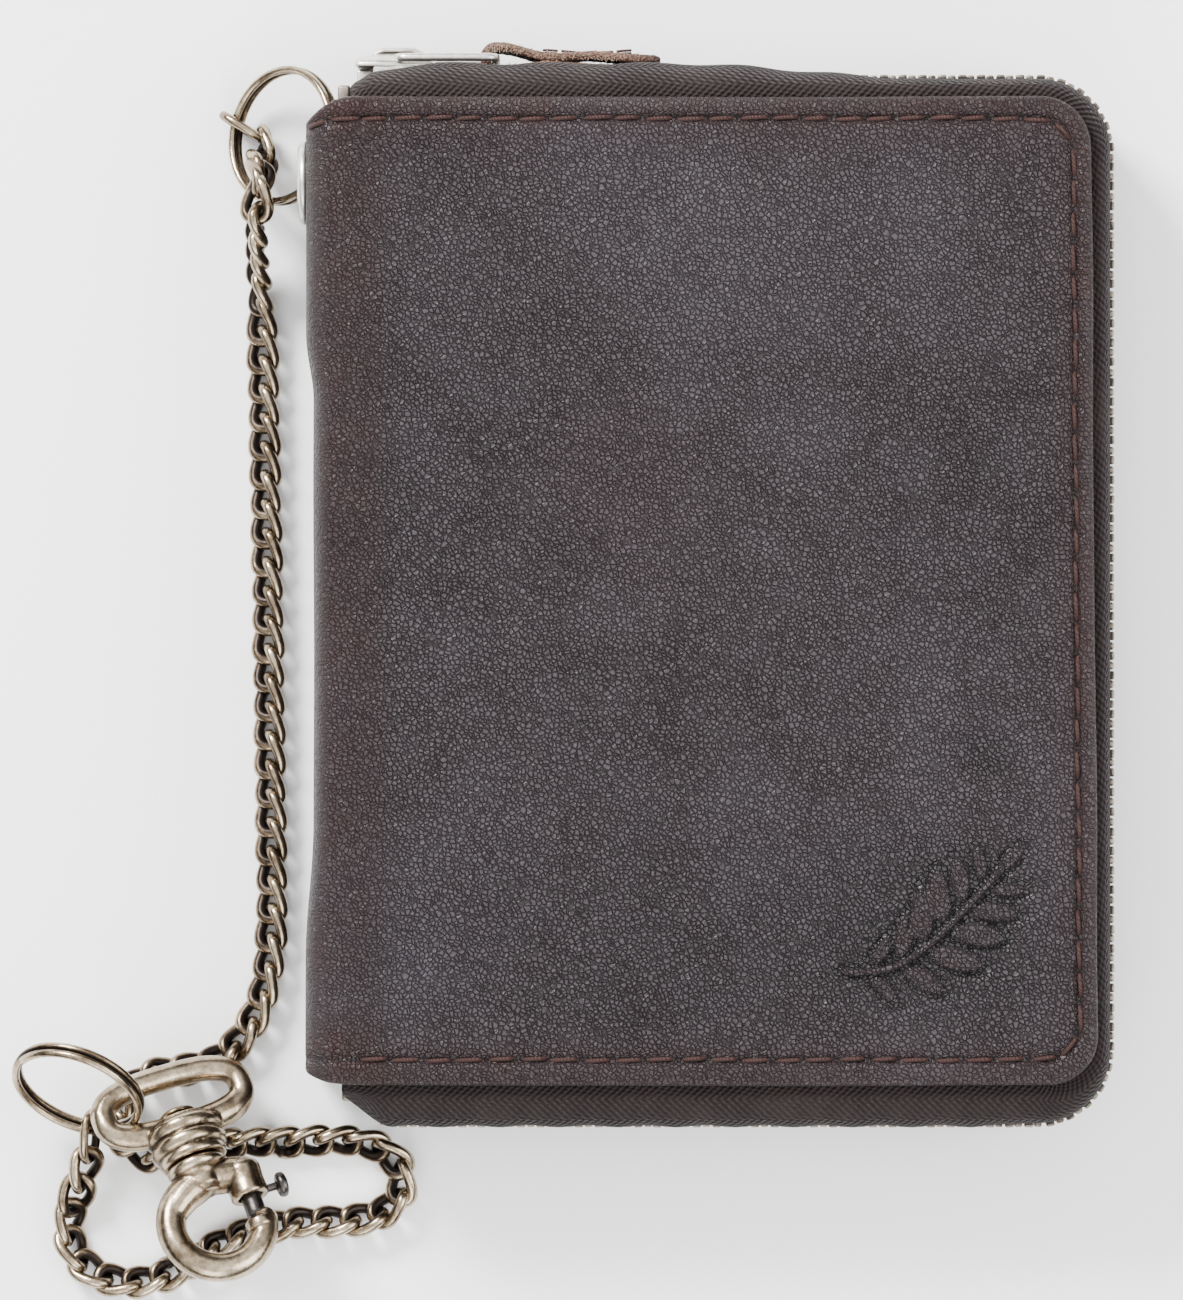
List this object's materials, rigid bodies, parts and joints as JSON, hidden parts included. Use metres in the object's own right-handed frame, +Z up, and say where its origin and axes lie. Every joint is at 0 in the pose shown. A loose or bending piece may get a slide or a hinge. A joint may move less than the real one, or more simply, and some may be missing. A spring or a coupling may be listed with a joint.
{
  "type": "chain wallet",
  "caption": "Zip-around leather wallet with a curb chain on a split ring through a spine eyelet, ending in a swivel bolt snap.",
  "frame": {"origin": "centre of the closed wallet's own box, at the underside of the back cover, with the chain and its fittings left out", "axes": "+Z up through the thickness, +X from the spine to the free long edge, +Y along the spine towards the slider end"},
  "size_m": [0.1316, 0.15, 0.0221],
  "materials": {
    "wallet_leather": "pebble-grained dark plum-brown leather with a worn semi-gloss and rust-brown wear at the edges",
    "tab_leather": "folded brown leather strap with raw suede edges",
    "board": "thin stiffener board",
    "lining": "smooth dark lining leather",
    "pocket_leather": "dark brown pocket leather, creased edges",
    "clear_film": "clear flexible window film",
    "zip_tape": "dark brown woven herringbone tape",
    "zip_metal": "dark antiqued brass teeth",
    "nickel": "worn nickel plate",
    "antique_brass": "antiqued brass, dark in the recesses and bright on the high spots",
    "dark_steel": "blackened steel",
    "spring_steel": "plain spring steel"
  },
  "bodies": {
    "back": {"back_board": "board", "back_cover": "wallet_leather", "back_lining": "lining", "card_slots_back": "pocket_leather", "centre_pocket": "lining", "chain_end_link_snap": "antique_brass", "chain_loop": "antique_brass", "chain_run": "antique_brass", "chain_tail": "antique_brass", "chain_under_snap": "antique_brass", "eyelet": "nickel", "eyelet_washer": "nickel", "note_pocket": "lining", "ring_snap": "antique_brass", "spine": "wallet_leather", "spine_lining": "lining", "swivel_eye": "antique_brass", "zip_bottom_stop": "zip_metal", "zip_tape_back": "zip_tape", "zip_teeth_back": "zip_metal", "zip_top_stop_back": "zip_metal"},
    "front": {"front_cover": "wallet_leather", "front_board": "board", "front_lining": "lining", "zip_tape_front": "zip_tape", "zip_teeth_front": "zip_metal", "zip_top_stop_front": "zip_metal", "card_slots_front": "pocket_leather", "id_window": "clear_film"},
    "slider": {"slider": "nickel"},
    "puller": {"puller_wire": "antique_brass"},
    "tab": {"pull_tab": "tab_leather"},
    "ring": {"ring_wallet": "antique_brass", "chain_end_link": "antique_brass"},
    "hook": {"hook": "antique_brass", "bolt_spring": "spring_steel"},
    "bolt": {"bolt": "dark_steel"}
  },
  "joints": [
    {"name": "cover_open", "type": "hinge", "parent": "back", "child": "front", "pos_m": [-0.04793, -0.00217, 0.02205], "axis": [0, -1, 0], "range_deg": [0, 150], "deforming": ["zip_tape_front", "zip_teeth_front", "zip_top_stop_front"]},
    {"name": "slider_travel", "type": "slide", "parent": "back", "child": "slider", "axis": [1, 0, 0], "range_m": [0, 0.07], "deforming": ["zip_tape_back", "zip_teeth_back", "zip_top_stop_back"]},
    {"name": "puller_swing", "type": "hinge", "parent": "slider", "child": "puller", "pos_m": [-0.03694, 0.06283, 0.011], "axis": [0, 0, 1], "range_deg": [0, 120]},
    {"name": "tab_swing", "type": "hinge", "parent": "puller", "child": "tab", "pos_m": [-0.02533, 0.06283, 0.011], "axis": [0, 0, 1], "range_deg": [0, 60]},
    {"name": "ring_swing", "type": "hinge", "parent": "back", "child": "ring", "pos_m": [-0.04723, 0.04803, 0.01201], "axis": [-0.0004, 0.9891, -0.1474], "range_deg": [0, 70], "deforming": ["chain_run"]},
    {"name": "snap_swivel", "type": "hinge", "parent": "back", "child": "hook", "pos_m": [-0.06294, -0.06477, 0.0094], "axis": [0.3469, -0.8597, 0.3749], "continuous": true},
    {"name": "bolt_draw", "type": "slide", "parent": "hook", "child": "bolt", "axis": [-0.3469, 0.8597, -0.3749], "range_m": [0, 0.0017], "stiffness_N_per_m": 400, "deforming": ["bolt_spring"]}
  ]
}
